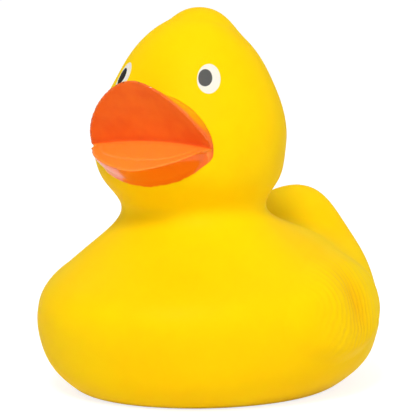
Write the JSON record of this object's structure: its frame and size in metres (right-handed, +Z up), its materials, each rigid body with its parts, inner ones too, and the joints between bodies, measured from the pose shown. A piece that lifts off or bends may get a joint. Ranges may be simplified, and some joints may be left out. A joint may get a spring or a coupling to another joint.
{
  "type": "rubber duck",
  "caption": "Hollow soft vinyl bath duck, one moulding with an open beak, upturned tail and flat base that holds a pressed-in squeaker.",
  "frame": {"origin": "on the floor plane of the flat base, under the middle of the overall length and width", "axes": "+Z up from the base through the head, -Y the way the beak points, +X the duck's own left side"},
  "size_m": [0.075, 0.0864, 0.0844],
  "materials": {
    "vinyl": "satin",
    "squeaker_plastic": "satin",
    "reed_plastic": "gloss"
  },
  "bodies": {
    "root": {"duck_shell": "vinyl", "squeaker_housing": "squeaker_plastic", "squeaker_reed": "reed_plastic"}
  },
  "joints": []
}
